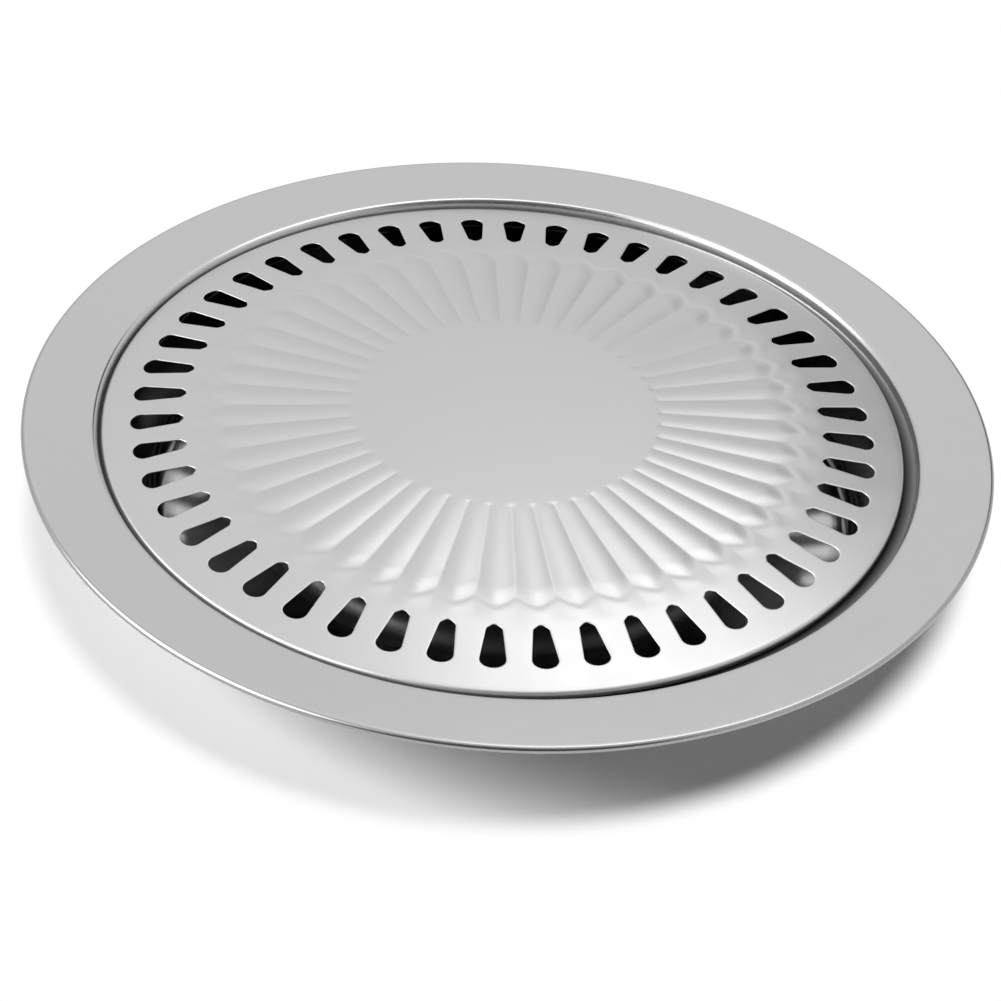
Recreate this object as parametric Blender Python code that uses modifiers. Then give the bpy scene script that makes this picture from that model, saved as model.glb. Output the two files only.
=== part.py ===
# Round two-piece grill pan in pressed stainless steel, for a gas burner.
# A drip tray with a wide flange, a ledge, a ring trough and a collar round its flame opening
# carries a domed grill plate, which lies loose on the ledge and lifts off.
# Metres, +Z up. The origin is on the tray's axis, at the surface that the tray stands on.
import math

import bmesh
import bpy
from mathutils import Matrix, Vector

# Tray: overall
SHEET = 0.0006
TRAY_RADIUS = 0.1625
TRAY_HEIGHT = 0.034
BEAD_RADIUS = 0.0012

# Tray: flange, recess and ledge
FLANGE_WIDTH = 0.0245
FLANGE_DISH = 0.0023
RECESS_DRAFT = 0.0004
RECESS_DEPTH = 0.0047
RECESS_EDGE_BEND = 0.0009
LEDGE_WIDTH = 0.0091
LEDGE_WALL_BEND = 0.0005
LEDGE_EDGE_BEND = 0.0016

# Tray: trough and the collar round the flame opening
TROUGH_DRAFT = 0.008
TROUGH_BEND = 0.004
OPENING_RADIUS = 0.074
COLLAR_HEIGHT = 0.02
COLLAR_DRAFT = 0.006
COLLAR_BEND = 0.003
COLLAR_CURL = 0.0013

# Grill plate: where it lies in the tray
SEAT_GAP = 0.0003
PLATE_PLAY = 0.0026
PLATE_LIE_SHARE = 0.78
PLATE_LIE_ANGLE = math.radians(157)

# Grill plate: rim and dome
SKIRT_DEPTH = 0.0023
RIM_BEND = 0.0012
CONE_RISE = 0.0029
SHOULDER_WIDTH = 0.0048
SHOULDER_RISE = 0.00035
DISC_RADIUS = 0.0509
DISC_RISE = 0.00205

# Grill plate: ribs between the disc and the smooth rim
RIB_COUNT = 48
RIB_RISE_SHARE = 0.098
RIB_RUN_IN = 0.0026
RIB_END_LENGTH = 0.006
RIB_FALL = 0.001
POINT_LENGTH = 0.0045
GROOVE_DEPTH = 0.00015
FOOT_WIDTH = 0.0026

# Grill plate: drain slots, one beyond the point of each rib
SLOT_LAND = 0.0098
SLOT_TO_SHOULDER = 0.0006
SLOT_LENGTH = 0.0176
SLOT_OUTER_WIDTH = 0.0082
SLOT_INNER_WIDTH = 0.005
SLOT_POINT_LENGTH = 0.0013
SLOT_POINT_WIDTH = 0.0012
CUT_OVERRUN = 0.004

# Facets
TRAY_STEPS = 64
STEPS_PER_RIB = 4
BEAD_FACETS = 4
BEND_FACETS = 2
SLOT_ARC_FACETS = 7
BEAD_END_ANGLE = math.radians(-120)
CURL_END_ANGLE = math.radians(215)
QUARTER_TURN = math.radians(90)
FULL_TURN = math.radians(360)
SHARP_EDGE_ANGLE = math.radians(40)
MERGE_DISTANCE = 0.00005

STEEL_COLOUR = (0.62, 0.62, 0.61, 1.0)
TRAY_ROUGHNESS = 0.28
PLATE_ROUGHNESS = 0.33


# Heights and radii that follow from the sizes above
flange_inner_height = TRAY_HEIGHT - FLANGE_DISH
ledge_height = flange_inner_height - RECESS_DEPTH
recess_radius = TRAY_RADIUS - FLANGE_WIDTH
ledge_outer_radius = recess_radius - RECESS_DRAFT
ledge_inner_radius = ledge_outer_radius - LEDGE_WIDTH
trough_outer_radius = ledge_inner_radius - TROUGH_DRAFT
collar_top_radius = OPENING_RADIUS + COLLAR_CURL + COLLAR_CURL
collar_foot_radius = collar_top_radius + COLLAR_DRAFT
collar_top_height = SHEET + COLLAR_HEIGHT
plate_radius = ledge_outer_radius - PLATE_PLAY
plate_lie = PLATE_PLAY * PLATE_LIE_SHARE
slot_outer_radius = plate_radius - SLOT_LAND
slot_inner_radius = slot_outer_radius - SLOT_LENGTH
knee_radius = slot_inner_radius - SLOT_TO_SHOULDER
foot_radius = knee_radius - SHOULDER_WIDTH
point_radius = foot_radius - FOOT_WIDTH
rib_end_radius = point_radius - RIB_END_LENGTH
rim_bottom_height = ledge_height + SEAT_GAP
rim_height = rim_bottom_height + SKIRT_DEPTH
knee_height = rim_height + CONE_RISE
foot_height = knee_height + SHOULDER_RISE
disc_height = foot_height + DISC_RISE
rib_pitch = FULL_TURN / RIB_COUNT


def clear_scene():
    for old in list(bpy.data.objects):
        bpy.data.objects.remove(old, do_unlink=True)


def new_collection(name):
    group = bpy.data.collections.new(name)
    bpy.context.scene.collection.children.link(group)
    return group


def steel(name, roughness):
    """Bare stainless steel as it leaves the press."""
    material = bpy.data.materials.new(name)
    material.use_nodes = True
    shader = material.node_tree.nodes["Principled BSDF"]
    shader.inputs["Base Color"].default_value = STEEL_COLOUR
    shader.inputs["Metallic"].default_value = 1.0
    shader.inputs["Roughness"].default_value = roughness
    return material


def arc(centre, radius, start, end, facets):
    """Points on an arc in the turning plane, from one angle to the other."""
    turn = (end - start) / facets
    angles = [start + turn * step for step in range(facets + 1)]
    return [(centre[0] + radius * math.cos(a), centre[1] + radius * math.sin(a)) for a in angles]


def bend(before, corner, after, radius):
    """Points of the round bend that replaces a corner of a profile."""
    corner = Vector(corner)
    towards = (Vector(before) - corner).normalized()
    away = (Vector(after) - corner).normalized()
    half = towards.angle(away) / 2
    reach = radius / math.tan(half)
    centre = corner + (towards + away).normalized() * (radius / math.sin(half))
    first = corner + towards * reach - centre
    last = corner + away * reach - centre
    turn = first.angle_signed(last)
    points = []
    for step in range(BEND_FACETS + 1):
        spoke = first.copy()
        spoke.rotate(Matrix.Rotation(-turn * step / BEND_FACETS, 2))
        points.append(tuple(centre + spoke))
    return points


def tray_profile():
    """Upper side of the tray's sheet, from under the flange's bead to inside the collar's curl."""
    bead_centre = (TRAY_RADIUS - BEAD_RADIUS, TRAY_HEIGHT - BEAD_RADIUS)
    flange_edge = (recess_radius, flange_inner_height)
    ledge_back = (ledge_outer_radius, ledge_height)
    ledge_edge = (ledge_inner_radius, ledge_height)
    trough_foot = (trough_outer_radius, SHEET)
    collar_foot = (collar_foot_radius, SHEET)
    collar_top = (collar_top_radius, collar_top_height - COLLAR_CURL)
    curl_centre = (collar_top_radius - COLLAR_CURL, collar_top_height - COLLAR_CURL)
    bead = arc(bead_centre, BEAD_RADIUS, BEAD_END_ANGLE, QUARTER_TURN, BEAD_FACETS)
    points = list(bead)
    points += bend(bead[-1], flange_edge, ledge_back, RECESS_EDGE_BEND)
    points += bend(flange_edge, ledge_back, ledge_edge, LEDGE_WALL_BEND)
    points += bend(ledge_back, ledge_edge, trough_foot, LEDGE_EDGE_BEND)
    points += bend(ledge_edge, trough_foot, collar_foot, TROUGH_BEND)
    points += bend(trough_foot, collar_foot, collar_top, COLLAR_BEND)
    points += arc(curl_centre, COLLAR_CURL, 0, CURL_END_ANGLE, BEAD_FACETS)
    return points


def rib_rise(radius):
    """Height of a rib's crown above the valleys beside it."""
    return RIB_RISE_SHARE * radius * rib_pitch


def plate_rings():
    """Radius, height and valley depth of each ring of the plate's upper side, from the axis out."""
    crown_end_height = disc_height - RIB_FALL
    run_in_radius = DISC_RADIUS + RIB_RUN_IN
    rim_centre = (plate_radius - RIM_BEND, rim_height - RIM_BEND)
    rings = [(0, disc_height, 0), (DISC_RADIUS, disc_height, 0)]
    rings.append((run_in_radius, disc_height, rib_rise(run_in_radius)))
    rings.append((rib_end_radius, crown_end_height, rib_rise(rib_end_radius)))
    rings.append((point_radius, foot_height - GROOVE_DEPTH, 0))
    rings.append((foot_radius, foot_height, 0))
    rings.append((knee_radius, knee_height, 0))
    rings += [(r, z, 0) for r, z in arc(rim_centre, RIM_BEND, QUARTER_TURN, 0, BEND_FACETS)]
    rings.append((plate_radius, rim_bottom_height, 0))
    return rings


def turned_mesh(name, points, steps, group):
    """Turns a profile about the Z axis with the Screw modifier and keeps the result as a mesh."""
    mesh = bpy.data.meshes.new(name + "_profile")
    edges = [(i, i + 1) for i in range(len(points) - 1)]
    mesh.from_pydata([(r, 0, z) for r, z in points], edges, [])
    profile = bpy.data.objects.new(name + "_profile", mesh)
    group.objects.link(profile)
    screw = profile.modifiers.new("turn", 'SCREW')
    screw.axis = 'Z'
    screw.angle = FULL_TURN
    screw.steps = steps
    screw.render_steps = steps
    screw.use_merge_vertices = True
    screw.merge_threshold = MERGE_DISTANCE
    bpy.context.view_layer.update()
    evaluated = profile.evaluated_get(bpy.context.evaluated_depsgraph_get())
    turned = bpy.data.meshes.new_from_object(evaluated)
    turned.name = name
    bpy.data.objects.remove(profile)
    return turned


def face_up(mesh):
    """Turns every face the same way, with the widest level face looking up."""
    work = bmesh.new()
    work.from_mesh(mesh)
    level = max(work.faces, key=lambda face: abs(face.normal.z) * face.calc_area())
    if level.normal.z < 0:
        bmesh.ops.reverse_faces(work, faces=work.faces[:])
    work.to_mesh(mesh)
    work.free()


def press_ribs(mesh):
    """Presses the valleys between the ribs, and draws their outer ends out into points."""
    valley_depth = {}
    for radius, _, depth in plate_rings():
        valley_depth[round(radius / MERGE_DISTANCE)] = depth
    for vertex in mesh.vertices:
        radius = math.hypot(vertex.co.x, vertex.co.y)
        angle = math.atan2(vertex.co.y, vertex.co.x)
        from_crown = abs(angle / rib_pitch - round(angle / rib_pitch)) * 2
        vertex.co.z -= valley_depth[round(radius / MERGE_DISTANCE)] * from_crown ** 2
        if rib_end_radius - MERGE_DISTANCE < radius < foot_radius + MERGE_DISTANCE:
            drawn_in = radius - POINT_LENGTH * from_crown
            vertex.co.x = drawn_in * math.cos(angle)
            vertex.co.y = drawn_in * math.sin(angle)


def solid_sheet(node, thickness):
    """Gives an open pressed surface the thickness of its sheet, on its lower side."""
    solidify = node.modifiers.new("sheet", 'SOLIDIFY')
    solidify.thickness = thickness
    solidify.offset = -1
    solidify.use_even_offset = True
    solidify.use_rim = True


def slot_outline():
    """One drain slot lying along +X: a round outer end, tapered sides and a blunt inner point."""
    outer_half = SLOT_OUTER_WIDTH / 2
    inner_half = SLOT_INNER_WIDTH / 2
    point_half = SLOT_POINT_WIDTH / 2
    outer_centre = (slot_outer_radius - outer_half, 0)
    shoulder = slot_inner_radius + SLOT_POINT_LENGTH
    points = arc(outer_centre, outer_half, -QUARTER_TURN, QUARTER_TURN, SLOT_ARC_FACETS)
    points += [(shoulder, inner_half), (slot_inner_radius, point_half)]
    points += [(slot_inner_radius, -point_half), (shoulder, -inner_half)]
    return points


def slot_curve():
    """The outline of one slot as a filled flat curve, thick enough to pass through the plate."""
    bottom = rim_height - CUT_OVERRUN
    top = disc_height + CUT_OVERRUN
    curve = bpy.data.curves.new("slot_outline", 'CURVE')
    curve.dimensions = '2D'
    curve.fill_mode = 'BOTH'
    curve.extrude = (top - bottom) / 2
    outline = slot_outline()
    spline = curve.splines.new('POLY')
    spline.points.add(len(outline) - 1)
    for point, (x, y) in zip(spline.points, outline):
        point.co = (x, y, 0, 1)
    spline.use_cyclic_u = True
    slot = bpy.data.objects.new("slot_outline", curve)
    slot.location.z = (top + bottom) / 2
    return slot


def slot_cutter(group):
    """All the slots in one cutter: a single slot made a mesh, then repeated about the axis."""
    slot = slot_curve()
    group.objects.link(slot)
    bpy.context.view_layer.update()
    evaluated = slot.evaluated_get(bpy.context.evaluated_depsgraph_get())
    mesh = bpy.data.meshes.new_from_object(evaluated)
    mesh.name = "slot_cutter"
    mesh.transform(slot.matrix_world)
    bpy.data.objects.remove(slot)
    work = bmesh.new()
    work.from_mesh(mesh)
    bmesh.ops.remove_doubles(work, verts=work.verts[:], dist=MERGE_DISTANCE)
    single = work.verts[:] + work.edges[:] + work.faces[:]
    turn = FULL_TURN - rib_pitch
    bmesh.ops.spin(work, geom=single, cent=(0, 0, 0), axis=(0, 0, 1), dvec=(0, 0, 0),
                   angle=turn, steps=RIB_COUNT - 1, use_duplicate=True)
    bmesh.ops.recalc_face_normals(work, faces=work.faces[:])
    work.to_mesh(mesh)
    work.free()
    cutter = bpy.data.objects.new("slot_cutter", mesh)
    cutter.hide_render = True
    cutter.display_type = 'WIRE'
    group.objects.link(cutter)
    return cutter


def build_drip_tray(group):
    """One pressed sheet: rolled bead, dished flange, recess, ledge, trough and curled collar."""
    mesh = turned_mesh("drip_tray", tray_profile(), TRAY_STEPS, group)
    face_up(mesh)
    mesh.shade_smooth()
    mesh.set_sharp_from_angle(angle=SHARP_EDGE_ANGLE)
    tray = bpy.data.objects.new("drip_tray", mesh)
    tray.data.materials.append(steel("polished_tray_steel", TRAY_ROUGHNESS))
    group.objects.link(tray)
    solid_sheet(tray, SHEET)
    return tray


def build_grill_plate(group, cutters):
    """One pressed sheet: flat disc, ribs that end in points, a slotted cone and a turned-down rim."""
    profile = [(r, z) for r, z, _ in plate_rings()]
    mesh = turned_mesh("grill_plate", profile, RIB_COUNT * STEPS_PER_RIB, group)
    face_up(mesh)
    press_ribs(mesh)
    mesh.shade_smooth()
    mesh.set_sharp_from_angle(angle=SHARP_EDGE_ANGLE)
    plate = bpy.data.objects.new("grill_plate", mesh)
    plate.data.materials.append(steel("satin_plate_steel", PLATE_ROUGHNESS))
    plate.location.x = plate_lie * math.cos(PLATE_LIE_ANGLE)
    plate.location.y = plate_lie * math.sin(PLATE_LIE_ANGLE)
    group.objects.link(plate)
    cutter = slot_cutter(cutters)
    cutter.parent = plate
    solid_sheet(plate, SHEET)
    slots = plate.modifiers.new("slots", 'BOOLEAN')
    slots.operation = 'DIFFERENCE'
    slots.solver = 'EXACT'
    slots.object = cutter
    return plate


clear_scene()
pan = new_collection("korean_bbq_grill_pan")
cutting_tools = new_collection("cutters")
build_drip_tray(pan)
build_grill_plate(pan, cutting_tools)
bpy.context.view_layer.update()
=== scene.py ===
import math

import bmesh
import bpy
from mathutils import Matrix, Vector


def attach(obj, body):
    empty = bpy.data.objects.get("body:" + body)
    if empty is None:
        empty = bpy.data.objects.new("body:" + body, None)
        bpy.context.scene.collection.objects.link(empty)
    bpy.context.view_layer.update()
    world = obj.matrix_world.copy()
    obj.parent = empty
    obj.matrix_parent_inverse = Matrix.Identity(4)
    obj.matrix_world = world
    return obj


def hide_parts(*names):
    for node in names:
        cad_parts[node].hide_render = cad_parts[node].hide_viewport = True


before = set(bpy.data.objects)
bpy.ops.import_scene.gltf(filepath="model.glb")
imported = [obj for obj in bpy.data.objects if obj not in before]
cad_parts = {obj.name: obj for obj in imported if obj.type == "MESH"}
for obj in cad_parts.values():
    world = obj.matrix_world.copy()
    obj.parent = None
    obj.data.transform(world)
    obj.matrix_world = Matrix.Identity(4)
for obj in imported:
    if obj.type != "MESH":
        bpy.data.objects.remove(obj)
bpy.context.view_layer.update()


# Drip tray. One disc of stainless sheet, drawn on a press into a wide dished flange, a recess with
# a ledge, and a ring trough round the flame opening. Its outer edge is rolled under into a bead,
# and the edge of the opening is curled in, so that no raw edge is left.
SHEET = 0.0006
TRAY_RADIUS = 0.16245
TRAY_HEIGHT = 0.034
BEAD_RADIUS = 0.0012
FLANGE_DISH = 0.0023
RECESS_RADIUS = 0.138
RECESS_DRAFT = 0.0004
RECESS_DEPTH = 0.0047
LEDGE_WIDTH = 0.0091
TROUGH_DRAFT = 0.008
OPENING_RADIUS = 0.074
COLLAR_HEIGHT = 0.02
COLLAR_DRAFT = 0.006
COLLAR_CURL = 0.0013
FLANGE_BEND = 0.002
LEDGE_BACK_BEND = 0.0011
LEDGE_EDGE_BEND = 0.0016
TROUGH_FOOT_BEND = 0.006
COLLAR_FOOT_BEND = 0.007
BEAD_START_ANGLE = -140
CURL_END_ANGLE = 215
BEAD_FACETS = 16
TROUGH_FOOT_FACETS = 10
COLLAR_FOOT_FACETS = 12
CURL_FACETS = 14
TRAY_STEPS = 256
TURNING_WELD = 0.00001
SHARP_EDGE_ANGLE = 50

flange_inner_height = TRAY_HEIGHT - FLANGE_DISH
ledge_height = flange_inner_height - RECESS_DEPTH
ledge_outer_radius = RECESS_RADIUS - RECESS_DRAFT
ledge_inner_radius = ledge_outer_radius - LEDGE_WIDTH
trough_outer_radius = ledge_inner_radius - TROUGH_DRAFT
collar_top_radius = OPENING_RADIUS + 2 * COLLAR_CURL
collar_foot_radius = collar_top_radius + COLLAR_DRAFT
collar_top_height = SHEET + COLLAR_HEIGHT


def arc(centre, radius, start, end, facets):
    """Points of an arc in a flat section, between two angles in degrees."""
    angles = [math.radians(start + (end - start) * step / facets) for step in range(facets + 1)]
    return [(centre[0] + radius * math.cos(a), centre[1] + radius * math.sin(a)) for a in angles]


def bend(before, corner, after, radius, facets=6):
    """Points of the round bend that replaces a corner of a section."""
    corner = Vector(corner)
    towards = (Vector(before) - corner).normalized()
    away = (Vector(after) - corner).normalized()
    half = towards.angle(away) / 2
    centre = corner + (towards + away).normalized() * (radius / math.sin(half))
    reach = radius / math.tan(half)
    first = corner + towards * reach - centre
    turn = first.angle_signed(corner + away * reach - centre)
    points = []
    for step in range(facets + 1):
        spoke = first.copy()
        spoke.rotate(Matrix.Rotation(-turn * step / facets, 2))
        points.append(tuple(centre + spoke))
    return points


def linked(name, data):
    """A new object in the scene for a mesh, a lamp or a camera."""
    piece = bpy.data.objects.new(name, data)
    bpy.context.scene.collection.objects.link(piece)
    return piece


def keep_result(piece):
    """Turns what a piece's modifiers make into its plain mesh."""
    bpy.context.view_layer.update()
    evaluated = piece.evaluated_get(bpy.context.evaluated_depsgraph_get())
    mesh = bpy.data.meshes.new_from_object(evaluated)
    piece.modifiers.clear()
    piece.data = mesh


def face_up(piece):
    """Turns every face of a pressing the same way, with its level faces looking up."""
    work = bmesh.new()
    work.from_mesh(piece.data)
    if sum(face.normal.z * face.calc_area() for face in work.faces) < 0:
        bmesh.ops.reverse_faces(work, faces=work.faces[:])
    work.to_mesh(piece.data)
    work.free()


def give_thickness(piece):
    """Gives an open pressing the thickness of the sheet, on its lower side."""
    solid = piece.modifiers.new("sheet", 'SOLIDIFY')
    solid.thickness = SHEET
    solid.offset = -1
    solid.use_rim = True
    solid.material_offset = 1
    keep_result(piece)
    piece.data.shade_smooth()
    piece.data.set_sharp_from_angle(angle=math.radians(SHARP_EDGE_ANGLE))


def near_ends(start, end, margin=0.001):
    """Points close to both ends of a straight run, which keep its shading straight."""
    step = (Vector(end) - Vector(start)).normalized() * margin
    return [tuple(Vector(start) + step), tuple(Vector(end) - step)]


bead_centre = (TRAY_RADIUS - BEAD_RADIUS, TRAY_HEIGHT - BEAD_RADIUS)
flange_edge = (RECESS_RADIUS, flange_inner_height)
flange_run = Vector(bead_centre) - Vector(flange_edge)
flange_slope = math.degrees(math.atan2(flange_run.y, flange_run.x))
bead_end_angle = 180 + flange_slope - math.degrees(math.acos(BEAD_RADIUS / flange_run.length))
bead = arc(bead_centre, BEAD_RADIUS, BEAD_START_ANGLE, bead_end_angle, BEAD_FACETS)
ledge_back = (ledge_outer_radius, ledge_height)
ledge_edge = (ledge_inner_radius, ledge_height)
trough_foot = (trough_outer_radius, SHEET)
collar_foot = (collar_foot_radius, SHEET)
collar_top = (collar_top_radius, collar_top_height - COLLAR_CURL)
curl_centre = (OPENING_RADIUS + COLLAR_CURL, collar_top_height - COLLAR_CURL)
flange_bend = bend(bead[-1], flange_edge, ledge_back, FLANGE_BEND)
tray_section = bead + near_ends(bead[-1], flange_bend[0]) + flange_bend
tray_section += bend(flange_edge, ledge_back, ledge_edge, LEDGE_BACK_BEND)
tray_section += bend(ledge_back, ledge_edge, trough_foot, LEDGE_EDGE_BEND)
tray_section += bend(ledge_edge, trough_foot, collar_foot, TROUGH_FOOT_BEND, TROUGH_FOOT_FACETS)
tray_section += bend(trough_foot, collar_foot, collar_top, COLLAR_FOOT_BEND, COLLAR_FOOT_FACETS)
tray_section += arc(curl_centre, COLLAR_CURL, 0, CURL_END_ANGLE, CURL_FACETS)

tray_line = bpy.data.meshes.new("drip_tray_pressing")
tray_edges = [(i, i + 1) for i in range(len(tray_section) - 1)]
tray_line.from_pydata([(r, 0, z) for r, z in tray_section], tray_edges, [])
tray = linked("drip_tray_pressing", tray_line)
turning = tray.modifiers.new("turning", 'SCREW')
turning.axis = 'Z'
turning.angle = math.radians(360)
turning.steps = TRAY_STEPS
turning.render_steps = TRAY_STEPS
turning.use_merge_vertices = True
turning.merge_threshold = TURNING_WELD
keep_result(tray)
face_up(tray)


def linear(hex_colour):
    """An sRGB hex colour as the linear RGBA that a shader takes."""
    channels = [int(hex_colour[i:i + 2], 16) / 255 for i in (1, 3, 5)]
    return [c / 12.92 if c <= 0.04045 else ((c + 0.055) / 1.055) ** 2.4 for c in channels] + [1.0]


def add_node(tree, kind, settings, links):
    """Adds a node, sets its properties or sockets by name or place, and links its inputs."""
    made = tree.nodes.new(kind)
    for name, value in settings.items():
        if isinstance(name, str) and hasattr(made, name):
            setattr(made, name, value)
        else:
            made.inputs[name].default_value = value
    for name, output in links.items():
        tree.links.new(output, made.inputs[name])
    return made


def new_material(name):
    """An empty node material, its node tree and its Principled shader."""
    material = bpy.data.materials.new(name)
    material.use_nodes = True
    return material, material.node_tree, material.node_tree.nodes["Principled BSDF"]


# Stainless sheet, bright from the rolling mill. The flange is polished to a soft mirror on a
# turning pad, whose marks run round the axis, 0.1 mm apart on the real tray and 0.7 mm here, so
# that they show. The recess and the collar are frosted by the die. The ledge is painted dark, as
# painted shade in the gap beside the plate's rim, and the collar and the trough's outer wall are
# painted darker, as painted shade. The floor of the trough keeps the clear mirror of the sheet.
# The recess wall is painted lighter than the flange and darker at its foot, as painted light and
# shade, and the rolled bead is painted a darker grey, as painted shade that dims its highlight.
# The bead's darker grey is painted shade, which dims the highlight along the rolled edge.
BEAD_PAINTED_SHADE = "#A8A8A8"
BEAD_SHADE_RADII = (0.1610, 0.1617)
MARKS_PER_METRE = 1400
MARK_HEIGHT = 0.000006
WAVES_PER_METRE = 45
WAVE_HEIGHT = 0.00012
WIPES_PER_METRE = 130
WIPE_CHANGE = 0.08
TROUGH_ROUGHNESS = 0.13
RECESS_ROUGHNESS = 0.38
FLANGE_SMOOTHING = -0.16
COLLAR_FROST = 0.3
LEDGE_HEIGHTS = (0.0255, 0.0268)
WALL_FOOT_HEIGHTS = (0.0272, 0.0276)
WALL_HEIGHTS = (0.0290, 0.0316)
COLLAR_FROST_RADII = (0.084, 0.096)
# The colours change with the height on the flange and the recess wall, where the wall is painted
# lighter and darker at its foot as painted light and shade, and with the radius below, where the
# collar, the trough's outer wall and the ledge are painted darker as painted shade.
WALL_PAINTED_LIGHT_AND_FLANGE_COLOURS = ((0.0274, "#C0C0C0"), (0.0290, "#D0D0D0"), (0.0316, "#C6C6C6"))
# Painted shade by radius: darker collar and outer trough wall, the ledge darkest by the plate's
# rim.
TROUGH_PAINTED_SHADE_COLOURS = ((0.0740, "#606060"), (0.0800, "#787878"), (0.0860, "#A8A8A8"),
                  (0.0930, "#D0D0D0"), (0.1120, "#D0D0D0"), (0.1190, "#505050"),
                  (0.1285, "#404040"), (0.1335, "#181818"), (0.1350, "#484848"),
                  (0.1376, "#808080"))

tray_steel, tree, shader = new_material("polished_stainless_steel")
shader.inputs["Metallic"].default_value = 1.0
place = add_node(tree, "ShaderNodeTexCoord", {}, {})
level = add_node(tree, "ShaderNodeVectorMath", {"operation": 'MULTIPLY', 1: (1, 1, 0)},
                 {0: place.outputs["Object"]})
from_axis = add_node(tree, "ShaderNodeVectorMath", {"operation": 'LENGTH'},
                     {0: level.outputs["Vector"]})
height = add_node(tree, "ShaderNodeSeparateXYZ", {}, {"Vector": place.outputs["Object"]})
marks = add_node(tree, "ShaderNodeTexNoise", {"noise_dimensions": '1D', "Detail": 3.0,
                 "Scale": MARKS_PER_METRE}, {"W": from_axis.outputs["Value"]})
waves = add_node(tree, "ShaderNodeTexNoise", {"Scale": WAVES_PER_METRE, "Detail": 1.0},
                 {"Vector": place.outputs["Object"]})
wipes = add_node(tree, "ShaderNodeTexNoise", {"Scale": WIPES_PER_METRE, "Detail": 4.0,
                 "Roughness": 0.6}, {"Vector": place.outputs["Object"]})

parts = []
for stops, place_on_part in ((TROUGH_PAINTED_SHADE_COLOURS, from_axis.outputs["Value"]),
                             (WALL_PAINTED_LIGHT_AND_FLANGE_COLOURS, height.outputs["Z"])):
    first, last = stops[0][0], stops[-1][0]
    share = add_node(tree, "ShaderNodeMapRange", {"From Min": first, "From Max": last},
                     {"Value": place_on_part})
    ramp = add_node(tree, "ShaderNodeValToRGB", {}, {"Fac": share.outputs["Result"]})
    while len(ramp.color_ramp.elements) < len(stops):
        ramp.color_ramp.elements.new(0.5)
    for stop, (reach, colour) in zip(ramp.color_ramp.elements, stops):
        stop.position = (reach - first) / (last - first)
        stop.color = linear(colour)
    parts.append(ramp.outputs["Color"])
# Below the wall's foot the painted shade of the trough and ledge, above it the wall's painted light
# and the flange.
on_wall = add_node(tree, "ShaderNodeMapRange", {"From Min": WALL_FOOT_HEIGHTS[0],
                   "From Max": WALL_FOOT_HEIGHTS[1]}, {"Value": height.outputs["Z"]})
shaded_colours = add_node(tree, "ShaderNodeMix", {"data_type": 'RGBA'},
                   {0: on_wall.outputs["Result"], 6: parts[0], 7: parts[1]})
# Painted shade: the rolled bead is darkened by its radius, which dims its highlight.
bead_shade_mask = add_node(tree, "ShaderNodeMapRange", {"From Min": BEAD_SHADE_RADII[0],
                   "From Max": BEAD_SHADE_RADII[1]}, {"Value": from_axis.outputs["Value"]})
bead_shaded = add_node(tree, "ShaderNodeMix", {"data_type": 'RGBA', 7: linear(BEAD_PAINTED_SHADE)},
                 {0: bead_shade_mask.outputs["Result"], 6: shaded_colours.outputs[2]})

finish = add_node(tree, "ShaderNodeMapRange", {"interpolation_type": 'SMOOTHSTEP',
                  "From Min": LEDGE_HEIGHTS[0], "From Max": LEDGE_HEIGHTS[1],
                  "To Min": TROUGH_ROUGHNESS, "To Max": RECESS_ROUGHNESS},
                  {"Value": height.outputs["Z"]})
smoothed = add_node(tree, "ShaderNodeMapRange", {"From Min": WALL_HEIGHTS[0],
                    "From Max": WALL_HEIGHTS[1], "To Max": FLANGE_SMOOTHING},
                    {"Value": height.outputs["Z"]})
frosted = add_node(tree, "ShaderNodeMapRange", {"From Min": COLLAR_FROST_RADII[0],
                   "From Max": COLLAR_FROST_RADII[1], "To Min": COLLAR_FROST, "To Max": 0.0},
                   {"Value": from_axis.outputs["Value"]})
roughness = add_node(tree, "ShaderNodeMath", {"operation": 'MULTIPLY_ADD', 1: WIPE_CHANGE,
                     2: -WIPE_CHANGE / 2}, {0: wipes.outputs["Fac"]})
for change in (finish, smoothed, frosted):
    roughness = add_node(tree, "ShaderNodeMath", {"operation": 'ADD'},
                         {0: roughness.outputs["Value"], 1: change.outputs["Result"]})
wavy = add_node(tree, "ShaderNodeBump", {"Strength": 1.0, "Distance": WAVE_HEIGHT},
                {"Height": waves.outputs["Fac"]})
marked = add_node(tree, "ShaderNodeBump", {"Strength": 1.0, "Distance": MARK_HEIGHT},
                  {"Height": marks.outputs["Fac"], "Normal": wavy.outputs["Normal"]})
tree.links.new(bead_shaded.outputs[2], shader.inputs["Base Color"])
tree.links.new(roughness.outputs["Value"], shader.inputs["Roughness"])
tree.links.new(marked.outputs["Normal"], shader.inputs["Normal"])

# The underside of the same sheet, as the die leaves it: bright, with fine drawing lines that run
# down the walls. They are 0.05 mm apart on the real tray and 1 mm here, so that they show.
UNDERSIDE_COLOUR = "#BDBDBD"
UNDERSIDE_ROUGHNESS = (0.22, 0.34)
LINES_PER_RADIAN = 120
LINE_HEIGHT = 0.00001

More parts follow.
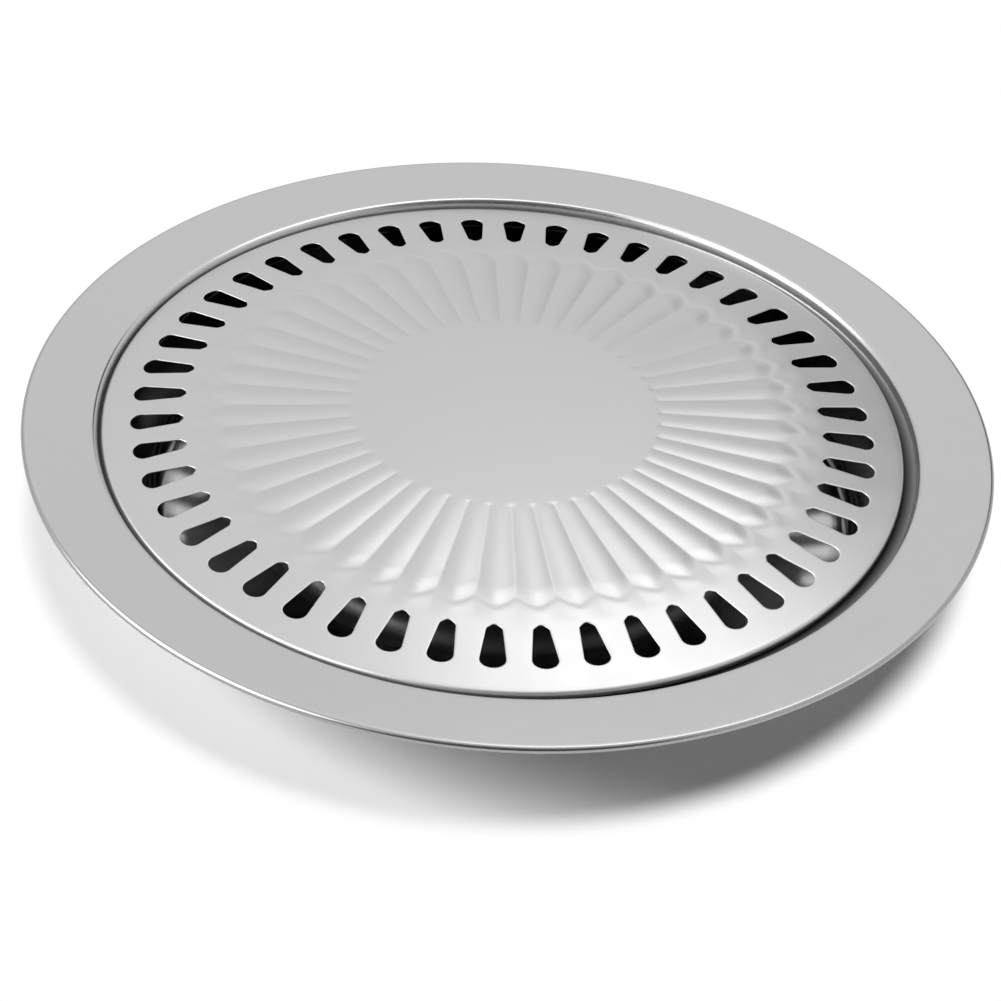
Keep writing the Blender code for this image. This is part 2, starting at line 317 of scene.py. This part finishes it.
underside_steel, tree, shader = new_material("drawn_stainless_steel")
shader.inputs["Base Color"].default_value = linear(UNDERSIDE_COLOUR)
shader.inputs["Metallic"].default_value = 1.0
place = add_node(tree, "ShaderNodeTexCoord", {}, {})
split = add_node(tree, "ShaderNodeSeparateXYZ", {}, {"Vector": place.outputs["Object"]})
turned = add_node(tree, "ShaderNodeMath", {"operation": 'ARCTAN2'},
                  {0: split.outputs["Y"], 1: split.outputs["X"]})
lines = add_node(tree, "ShaderNodeTexNoise", {"noise_dimensions": '1D', "Detail": 2.0,
                 "Scale": LINES_PER_RADIAN}, {"W": turned.outputs["Value"]})
roughness = add_node(tree, "ShaderNodeMapRange", {"To Min": UNDERSIDE_ROUGHNESS[0],
                     "To Max": UNDERSIDE_ROUGHNESS[1]}, {"Value": lines.outputs["Fac"]})
lined = add_node(tree, "ShaderNodeBump", {"Strength": 1.0, "Distance": LINE_HEIGHT},
                 {"Height": lines.outputs["Fac"]})
tree.links.new(roughness.outputs["Result"], shader.inputs["Roughness"])
tree.links.new(lined.outputs["Normal"], shader.inputs["Normal"])

tray.data.materials.clear()
tray.data.materials.append(tray_steel)
tray.data.materials.append(underside_steel)
give_thickness(tray)

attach(tray, "tray")
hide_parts("drip_tray")


# Grill plate. One disc of the same sheet, pressed in a die with 48 ribs, drawn down at the edge
# and punched with a drain slot beyond the point of each rib. It lies loose on the tray's ledge,
# a little off the middle.
PLATE_RADIUS = 0.135
PLATE_LIE = 0.00203
PLATE_LIE_ANGLE = 157
RIM_BOTTOM_HEIGHT = 0.0273
RIM_HEIGHT = 0.0296
RIM_BEND = 0.0012
RIM_BEND_START_ANGLE = 84
RIM_BEND_FACETS = 8
KNEE_RADIUS = 0.107
KNEE_HEIGHT = 0.0325
FOOT_RADIUS = 0.1022
FOOT_HEIGHT = 0.03298
POINT_RADIUS = 0.0996
POINT_LENGTH = 0.0045
GROOVE_HEIGHT = 0.03294
RIB_COUNT = 48
RIB_RISE_SHARE = 0.035
RIB_END_RADIUS = 0.0918
RIB_FALL = 0.0013
RIB_RUN_IN = 0.0026
RIB_END_SOFTNESS = 0.65
DISC_RADIUS = 0.0509
DISC_HEIGHT = 0.0349
SLOT_INNER_RADIUS = 0.1076
SLOT_OUTER_RADIUS = 0.1252
SLOT_OUTER_HALF = 0.0041
SLOT_OUTER_ROUND = 0.0034
SLOT_INNER_HALF = 0.0025
SLOT_POINT_LENGTH = 0.0016
SLOT_POINT_HALF = 0.0006
SLOT_POINT_BEND = 0.0004
SLOT_SHOULDER_BEND = 0.0009
SLOT_END_FACETS = 24
EDGE_ROLL = 0.0005
EDGE_DROP = 0.00016
BAND_INNER_RADIUS = 0.1054
BAND_OUTER_RADIUS = 0.1272
SLOT_SIDE_START = 0.1099
SIDE_SPANS = 10
# Rows of the mesh: circles and distances in metres, and shares of the way across each part.
DISC_CIRCLES = (0, 0.012, 0.03, 0.045, DISC_RADIUS)
RUN_IN_ROWS = 6
RIB_ROWS = 12
RIB_END_SHARES = (0.12, 0.25, 0.4, 0.55, 0.7, 0.82, 0.92, 1)
GROOVE_SHARES = (0.2, 0.45, 0.7, 1)
FOOT_SHARES = (0.35, 0.7, 1)
CROWN_SHARES = (0, 0.22, 0.43, 0.62, 0.8, 0.94, 1)
SLOT_DISTANCES = (0, 0.00005, 0.00012, 0.00022, 0.00035, EDGE_ROLL, 0.001)
SECTOR_SHARES = (0.33, 0.67, 1)
RIM_CIRCLES = (BAND_OUTER_RADIUS, 0.1295, 0.132)
RIM_WALL_HEIGHTS = (0.0278, RIM_BOTTOM_HEIGHT)
SECTOR_WELD = 0.000004

half_pitch = math.pi / RIB_COUNT
run_in_radius = DISC_RADIUS + RIB_RUN_IN
column_shares = [-share for share in CROWN_SHARES[:0:-1]] + list(CROWN_SHARES)
rim_centre = (PLATE_RADIUS - RIM_BEND, RIM_HEIGHT - RIM_BEND)
rim_bend = arc(rim_centre, RIM_BEND, RIM_BEND_START_ANGLE, 0, RIM_BEND_FACETS)
sector_points = []
sector_faces = []


def smooth(share):
    """A step from 0 to 1 that starts and ends level."""
    share = min(max(share, 0), 1)
    return share * share * (3 - 2 * share)


def valley(share):
    """Depth of the hollow between two ribs, from a crown (0) to the crease of the valley (1)."""
    crease = 0.94
    past = max(share - crease, 0)
    sharp = min(share, crease) ** 2 + 2 * crease * past
    return (sharp - crease * past ** 2 / (1 - crease)) / crease


def point(share):
    """How far a rib's end is set back, from the tip of its blunt point (0) to the valley (1)."""
    blunt = 0.22
    return (math.hypot(share, blunt) - blunt) / (math.hypot(1, blunt) - blunt)


def rib_height(radius, share):
    """Height of the ribbed ring, by its radius at the crown."""
    fall = max(radius - run_in_radius, 0) / (RIB_END_RADIUS - run_in_radius)
    depth = RIB_RISE_SHARE * radius * 2 * half_pitch * smooth((radius - DISC_RADIUS) / RIB_RUN_IN)
    return DISC_HEIGHT - RIB_FALL * fall - depth * valley(share)


def band_height(radius, share):
    """Height of the smooth band, from the foot of the ribs down to the bend of the rim."""
    foot = FOOT_RADIUS - POINT_LENGTH * point(share)
    if radius < KNEE_RADIUS:
        drop = (radius - foot) / (KNEE_RADIUS - foot)
        return FOOT_HEIGHT + (KNEE_HEIGHT - FOOT_HEIGHT) * drop
    drop = (radius - KNEE_RADIUS) / (rim_bend[0][0] - KNEE_RADIUS)
    return KNEE_HEIGHT + (rim_bend[0][1] - KNEE_HEIGHT) * drop


def at(radius, angle, height):
    """A point by its radius, angle and height."""
    return (radius * math.cos(angle), radius * math.sin(angle), height)


def add_grid(rows, closed=False):
    """Adds rows of points to the plate's sector, and the faces between them."""
    first, columns = len(sector_points), len(rows[0])
    for row in rows:
        sector_points.extend(row)
    for i in range(len(rows) - 1):
        near, far = first + i * columns, first + (i + 1) * columns
        for j in range(columns if closed else columns - 1):
            k = (j + 1) % columns
            sector_faces.append((near + j, far + j, far + k, near + k))


def rib_rows():
    """Rows from the axis to the circle where the slotted band starts."""
    table = [(radius, 0, 0, 0) for radius in DISC_CIRCLES]
    for step in range(1, RUN_IN_ROWS + 1):
        table.append((DISC_RADIUS + RIB_RUN_IN * step / RUN_IN_ROWS, 0, 0, 0))
    for step in range(1, RIB_ROWS + 1):
        share = step / RIB_ROWS
        table.append((run_in_radius + (RIB_END_RADIUS - run_in_radius) * share, share, 0, 0))
    for share in RIB_END_SHARES:
        table.append((RIB_END_RADIUS + (POINT_RADIUS - RIB_END_RADIUS) * share, 1, share, 0))
    for share in GROOVE_SHARES:
        table.append((POINT_RADIUS + (FOOT_RADIUS - POINT_RADIUS) * share, 1, 1, share))
    rows = []
    for radius, drawn, fallen, risen in table:
        row = []
        for column in column_shares:
            share = abs(column)
            top = rib_height(min(radius, RIB_END_RADIUS), share)
            drop = RIB_END_SOFTNESS * smooth(fallen) + (1 - RIB_END_SOFTNESS) * fallen * fallen
            end = top + (GROOVE_HEIGHT - top) * drop
            height = end + (FOOT_HEIGHT - GROOVE_HEIGHT) * smooth(risen)
            reach = radius - POINT_LENGTH * drawn * point(share)
            row.append(at(reach, column * half_pitch, height))
        rows.append(row)
    for part in FOOT_SHARES:
        row = []
        for column in column_shares:
            foot = FOOT_RADIUS - POINT_LENGTH * point(abs(column))
            radius = foot + (BAND_INNER_RADIUS - foot) * part
            row.append(at(radius, column * half_pitch, band_height(radius, abs(column))))
        rows.append(row)
    return rows


def slot_half():
    """One side of a slot's outline, from its inner point to its round outer end."""
    tip = (SLOT_INNER_RADIUS, -SLOT_POINT_HALF)
    shoulder = (SLOT_INNER_RADIUS + SLOT_POINT_LENGTH, -SLOT_INNER_HALF)
    round_start = SLOT_OUTER_RADIUS - SLOT_OUTER_ROUND
    outer_round = [(round_start + x * SLOT_OUTER_ROUND, y * SLOT_OUTER_HALF)
                   for x, y in arc((0, 0), 1, -90, 0, SLOT_END_FACETS)]
    outline = [(SLOT_INNER_RADIUS, 0)]
    outline += bend(outline[0], tip, shoulder, SLOT_POINT_BEND)
    outline += bend(tip, shoulder, outer_round[0], SLOT_SHOULDER_BEND)
    return outline + outer_round


def along(outline, start, end, spans):
    """Points at equal steps along an outline, between two lengths on it."""
    steps = [start + (end - start) * step / spans for step in range(spans)]
    reached, points, near = 0, [], outline[0]
    for far in outline[1:]:
        length = math.dist(near, far)
        while steps and steps[0] <= reached + length:
            share = (steps.pop(0) - reached) / length
            points.append((near[0] + (far[0] - near[0]) * share,
                           near[1] + (far[1] - near[1]) * share))
        reached, near = reached + length, far
    return points


def outline_length(outline, stop):
    """Length of an outline up to its first point at a radius on the slot's side."""
    reached, near = 0, outline[0]
    for far in outline[1:]:
        if far[0] >= stop:
            return reached + math.dist(near, far) * (stop - near[0]) / (far[0] - near[0])
        reached, near = reached + math.dist(near, far), far
    return reached


def slot_ring():
    """A slot's outline as points that pair with the edge of its sector, the same way round."""
    half = slot_half()
    loop = half + [(x, -y) for x, y in reversed(half[:-1])]
    loop += loop[1:]
    total = sum(math.dist(a, b) for a, b in zip(half, half[1:])) * 2
    side_start = outline_length(half, SLOT_SIDE_START)
    side_end = outline_length(half, SLOT_OUTER_RADIUS - SLOT_OUTER_ROUND)
    spans = len(column_shares) - 1
    points = along(loop, side_start, side_end, SIDE_SPANS)
    points += along(loop, side_end, total - side_end, spans)
    points += along(loop, total - side_end, total - side_start, SIDE_SPANS)
    return points + along(loop, total - side_start, total + side_start, spans)


def sector_edge():
    """The edge of the slotted part of a sector, the same way round as the slot's outline."""
    reach = BAND_OUTER_RADIUS - BAND_INNER_RADIUS
    side = [BAND_INNER_RADIUS + reach * step / SIDE_SPANS for step in range(SIDE_SPANS)]
    spans = len(column_shares) - 1
    edge = [(radius, -1) for radius in side]
    edge += [(BAND_OUTER_RADIUS, -1 + 2 * step / spans) for step in range(spans)]
    edge += [(BAND_OUTER_RADIUS + BAND_INNER_RADIUS - radius, 1) for radius in side]
    edge += [(BAND_INNER_RADIUS, share) for share in column_shares[:0:-1]]
    return [at(radius, share * half_pitch, 0)[:2] for radius, share in edge]


def slotted_rows():
    """Rows round a slot: the edge that the punch has rolled down, then out to the sector's edge."""
    ring, edge = slot_ring(), sector_edge()
    away = []
    for i in range(len(ring)):
        before, after = Vector(ring[i - 1]), Vector(ring[(i + 1) % len(ring)])
        run = (after - before).normalized()
        away.append(Vector((run.y, -run.x)))
    rows = []
    for distance in SLOT_DISTANCES:
        rolled = max(1 - distance / EDGE_ROLL, 0)
        drop = EDGE_DROP * (1 - math.sqrt(1 - rolled * rolled))
        rows.append([(Vector(p) + n * distance, drop) for p, n in zip(ring, away)])
    last = [p for p, drop in rows[-1]]
    for part in SECTOR_SHARES:
        rows.append([(p.lerp(Vector(e), part), 0) for p, e in zip(last, edge)])
    placed = []
    for row in rows:
        placed.append([])
        for p, drop in row:
            share = min(abs(math.atan2(p.y, p.x)) / half_pitch, 1)
            placed[-1].append((p.x, p.y, band_height(p.length, share) - drop))
    return placed


def rim_rows():
    """Rows from beyond the slots to the lower edge of the turned-down rim."""
    spans = len(column_shares) - 1
    shares = [-1 + 2 * step / spans for step in range(spans + 1)]
    section = [(radius, band_height(radius, 0)) for radius in RIM_CIRCLES] + rim_bend
    section += [(PLATE_RADIUS, height) for height in RIM_WALL_HEIGHTS]
    return [[at(r, share * half_pitch, z) for share in shares] for r, z in section]


add_grid(rib_rows())
add_grid(slotted_rows(), closed=True)
add_grid(rim_rows())

plate_points, plate_faces = [], []
for sector in range(RIB_COUNT):
    turn = Matrix.Rotation(sector * 2 * half_pitch, 3, 'Z')
    first = len(plate_points)
    plate_points += [turn @ Vector(p) for p in sector_points]
    plate_faces += [tuple(first + i for i in face) for face in sector_faces]
plate_mesh = bpy.data.meshes.new("grill_plate_pressing")
plate_mesh.from_pydata(plate_points, [], plate_faces)
welding = bmesh.new()
welding.from_mesh(plate_mesh)
bmesh.ops.remove_doubles(welding, verts=welding.verts[:], dist=SECTOR_WELD)
welding.to_mesh(plate_mesh)
welding.free()
lie_angle = math.radians(PLATE_LIE_ANGLE)
plate_mesh.transform(Matrix.Translation(at(PLATE_LIE, lie_angle, 0)))
plate = linked("grill_plate_pressing", plate_mesh)
face_up(plate)


# Stainless sheet with a satin finish, as it comes from the temper rolls: a soft, even mirror with
# a very fine frosted grain. The grain is 0.05 mm on the real plate and 0.4 mm here, so that it
# shows, and the press leaves the flat parts very slightly wavy.
PLATE_COLOUR = "#C8C8C8"
PLATE_ROUGHNESS = (0.33, 0.41)
PLATE_GRAINS_PER_METRE = 2500
PLATE_GRAIN_HEIGHT = 0.000003
PLATE_WAVES_PER_METRE = 40
PLATE_WAVE_HEIGHT = 0.00006
PLATE_WIPES_PER_METRE = 90

plate_steel, tree, shader = new_material("satin_stainless_steel")
shader.inputs["Base Color"].default_value = linear(PLATE_COLOUR)
shader.inputs["Metallic"].default_value = 1.0
place = add_node(tree, "ShaderNodeTexCoord", {}, {})
grain = add_node(tree, "ShaderNodeTexNoise", {"Scale": PLATE_GRAINS_PER_METRE, "Detail": 2.0},
                 {"Vector": place.outputs["Object"]})
waves = add_node(tree, "ShaderNodeTexNoise", {"Scale": PLATE_WAVES_PER_METRE, "Detail": 1.0},
                 {"Vector": place.outputs["Object"]})
wipes = add_node(tree, "ShaderNodeTexNoise", {"Scale": PLATE_WIPES_PER_METRE, "Detail": 4.0,
                 "Roughness": 0.6}, {"Vector": place.outputs["Object"]})
roughness = add_node(tree, "ShaderNodeMapRange", {"To Min": PLATE_ROUGHNESS[0],
                     "To Max": PLATE_ROUGHNESS[1]}, {"Value": wipes.outputs["Fac"]})
wavy = add_node(tree, "ShaderNodeBump", {"Strength": 1.0, "Distance": PLATE_WAVE_HEIGHT},
                {"Height": waves.outputs["Fac"]})
grained = add_node(tree, "ShaderNodeBump", {"Strength": 1.0, "Distance": PLATE_GRAIN_HEIGHT},
                   {"Height": grain.outputs["Fac"], "Normal": wavy.outputs["Normal"]})
tree.links.new(roughness.outputs["Result"], shader.inputs["Roughness"])
tree.links.new(grained.outputs["Normal"], shader.inputs["Normal"])
plate.data.materials.clear()
plate.data.materials.append(plate_steel)
plate.data.materials.append(underside_steel)
give_thickness(plate)

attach(plate, "plate")
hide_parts("grill_plate")


# Floor. A sheet of matt white studio paper that runs well past the view on every side. It keeps
# the pan's shadow, and further out it glows white for the camera and for the metal only.
FLOOR_SIZE = 6.0
FLOOR_COLOUR = "#F2F2F2"
PAPER_ROUGHNESS = 0.9
PAPER_SHINE = 0.1
SHADED_PLACE = (-0.010, 0.006, 0)
SHADED_RADIUS = 0.160
WHITE_RADIUS = 0.174

floor_mesh = bpy.data.meshes.new("studio_floor")
corner = FLOOR_SIZE / 2
floor_mesh.from_pydata([(-corner, -corner, 0), (corner, -corner, 0), (corner, corner, 0),
                        (-corner, corner, 0)], [], [(0, 1, 2, 3)])
floor = linked("studio_floor", floor_mesh)
paper, tree, shader = new_material("white_studio_paper")
shader.inputs["Base Color"].default_value = linear(FLOOR_COLOUR)
shader.inputs["Roughness"].default_value = PAPER_ROUGHNESS
shader.inputs["Specular IOR Level"].default_value = PAPER_SHINE
path = add_node(tree, "ShaderNodeLightPath", {}, {})
seen = add_node(tree, "ShaderNodeMath", {"operation": 'MAXIMUM'},
                {0: path.outputs["Is Camera Ray"], 1: path.outputs["Is Glossy Ray"]})
place = add_node(tree, "ShaderNodeTexCoord", {}, {})
from_middle = add_node(tree, "ShaderNodeVectorMath", {"operation": 'DISTANCE', 1: SHADED_PLACE},
                       {0: place.outputs["Object"]})
outside = add_node(tree, "ShaderNodeMapRange", {"interpolation_type": 'SMOOTHSTEP',
                   "From Min": SHADED_RADIUS, "From Max": WHITE_RADIUS},
                   {"Value": from_middle.outputs["Value"]})
share = add_node(tree, "ShaderNodeMath", {"operation": 'MULTIPLY'},
                 {0: outside.outputs["Result"], 1: seen.outputs["Value"]})
white = add_node(tree, "ShaderNodeEmission", {"Strength": 1.0}, {})
white.inputs["Color"].default_value = linear("#FFFFFF")
surface = add_node(tree, "ShaderNodeMixShader", {}, {0: share.outputs["Value"],
                   1: shader.outputs["BSDF"], 2: white.outputs["Emission"]})
tree.links.new(surface.outputs["Shader"], tree.nodes["Material Output"].inputs["Surface"])
floor.data.materials.append(paper)


# Studio. A white tent with a soft box over the back of the pan, at the right, and a dark doorway
# beneath it. The camera's side is dark too, and a window is bright at the left. The metal mirrors
# all of these. A share of the tent and two broad lights, above and at the left, light the floor.
TENT_ON_FLOOR = 0.14
BOX_PLACE = (0.1286, 0.1547, 0.4396)
BOX_AIM = (0.04, -0.118, 0.03)
BOX_SIZE = (0.32, 0.14)
BOX_POWER = 0.27
# How bright the tent is, by the sine of the height: -1 is straight down and 1 straight up.
TENT_LIGHT = ((-1.0, 0.8), (0.0, 0.8), (0.34, 0.87), (0.54, 0.88), (0.6, 0.93), (0.7, 0.95),
              (1.0, 0.98))
# Each patch by its angle from the back to the right, its height, its reach and its even core, all
# in degrees, and the brightness that it adds.
DOORWAY = (27, 28, 14, 8, -0.85)
CAMERA_STAND = (180, 36, 49, 29, -0.77)
WINDOW = (-106, 36, 36, 22, 3.4)
# Each broad light by the same two angles, its spread in degrees and its strength.
LIGHT_ABOVE = (0, 86, 18, 1.0)
LIGHT_AT_LEFT = (-98, 32, 30, 3.95)


def in_tent(azimuth, elevation):
    """Direction of a place in the tent, by its angle from the back to the right and its height."""
    side, rise = math.radians(azimuth), math.radians(elevation)
    return (math.sin(side) * math.cos(rise), math.cos(side) * math.cos(rise), math.sin(rise))


world = bpy.data.worlds.new("studio_tent")
bpy.context.scene.world = world
world.use_nodes = True
tree = world.node_tree
tree.nodes.clear()
path = add_node(tree, "ShaderNodeLightPath", {}, {})
place = add_node(tree, "ShaderNodeTexCoord", {}, {})
split = add_node(tree, "ShaderNodeSeparateXYZ", {}, {"Vector": place.outputs["Generated"]})
share = add_node(tree, "ShaderNodeMath", {"operation": 'MULTIPLY_ADD', 1: 0.5, 2: 0.5},
                 {0: split.outputs["Z"]})
ramp = add_node(tree, "ShaderNodeValToRGB", {}, {"Fac": share.outputs["Value"]})
while len(ramp.color_ramp.elements) < len(TENT_LIGHT):
    ramp.color_ramp.elements.new(0.5)
for stop, (sine, light) in zip(ramp.color_ramp.elements, TENT_LIGHT):
    stop.position = sine * 0.5 + 0.5
    stop.color = [light] * 3 + [1.0]
lit = ramp.outputs["Color"]
for azimuth, elevation, reach, core, gain in (DOORWAY, CAMERA_STAND, WINDOW):
    facing = add_node(tree, "ShaderNodeVectorMath", {"operation": 'DOT_PRODUCT',
                      1: in_tent(azimuth, elevation)}, {0: place.outputs["Generated"]})
    angle = add_node(tree, "ShaderNodeMath", {"operation": 'ARCCOSINE'},
                     {0: facing.outputs["Value"]})
    patch = add_node(tree, "ShaderNodeMapRange", {"interpolation_type": 'SMOOTHSTEP',
                     "From Min": math.radians(reach), "From Max": math.radians(core),
                     "To Max": gain}, {"Value": angle.outputs["Value"]})
    added = add_node(tree, "ShaderNodeMath", {"operation": 'ADD'},
                     {0: lit, 1: patch.outputs["Result"]})
    lit = added.outputs["Value"]
tent = add_node(tree, "ShaderNodeBackground", {}, {"Strength": lit})
soft = add_node(tree, "ShaderNodeBackground", {"Strength": TENT_ON_FLOOR}, {})
backdrop = add_node(tree, "ShaderNodeBackground", {"Strength": 1.0}, {})
for background in (tent, soft, backdrop):
    background.inputs["Color"].default_value = linear("#FFFFFF")
inside = add_node(tree, "ShaderNodeMixShader", {}, {0: path.outputs["Is Glossy Ray"],
                  1: soft.outputs["Background"], 2: tent.outputs["Background"]})
all_seen = add_node(tree, "ShaderNodeMixShader", {}, {0: path.outputs["Is Camera Ray"],
                    1: inside.outputs["Shader"], 2: backdrop.outputs["Background"]})
add_node(tree, "ShaderNodeOutputWorld", {}, {"Surface": all_seen.outputs["Shader"]})


def broad_light(name, azimuth, elevation, spread, strength):
    """A broad, even light from one side that the metal mirrors only as part of the tent."""
    lamp = bpy.data.lights.new(name, 'SUN')
    lamp.angle = math.radians(spread)
    lamp.energy = strength
    light = linked(name, lamp)
    light.rotation_euler = Vector(in_tent(azimuth, elevation)).to_track_quat('Z', 'Y').to_euler()
    light.visible_glossy = False


box_lamp = bpy.data.lights.new("roof_soft_box", 'AREA')
box_lamp.shape = 'RECTANGLE'
box_lamp.size, box_lamp.size_y = BOX_SIZE
box_lamp.energy = BOX_POWER
box = linked("roof_soft_box", box_lamp)
box.location = BOX_PLACE
facing = Vector(BOX_PLACE) - Vector(BOX_AIM)
box.rotation_euler = facing.to_track_quat('Z', 'Y').to_euler()
broad_light("light_above", *LIGHT_ABOVE)
broad_light("light_at_left", *LIGHT_AT_LEFT)


# Camera. It looks down at the pan from the front, as the photograph does, and is turned a little
# about its own line of sight.
CAMERA_DISTANCE = 0.85816
CAMERA_ELEVATION = 38.32
CAMERA_ROLL = 4.482
CAMERA_AZIMUTH = -1.01
CAMERA_RIGHT = -0.0035
CAMERA_UP = -0.02972
CAMERA_LENS = 91.716
CAMERA_SENSOR = 36.0

tilt = math.radians(CAMERA_ELEVATION)
roll = math.radians(CAMERA_ROLL)
back = Vector((0, -math.cos(tilt), math.sin(tilt)))
level_right = Vector((1, 0, 0))
level_up = back.cross(level_right)
right = level_right * math.cos(roll) + level_up * math.sin(roll)
up = level_up * math.cos(roll) - level_right * math.sin(roll)
stand = back * CAMERA_DISTANCE + right * CAMERA_RIGHT + up * CAMERA_UP
about = Matrix.Rotation(math.radians(CAMERA_AZIMUTH), 4, 'Z')
pose = Matrix((right, up, back)).transposed().to_4x4()
pose.translation = stand
camera_data = bpy.data.cameras.new("studio_camera")
camera_data.sensor_width = CAMERA_SENSOR
camera_data.lens = CAMERA_LENS
camera = linked("studio_camera", camera_data)
camera.matrix_world = Matrix.Translation((0, 0, TRAY_HEIGHT)) @ about @ pose
bpy.context.scene.camera = camera
bpy.context.scene.view_settings.view_transform = 'Standard'
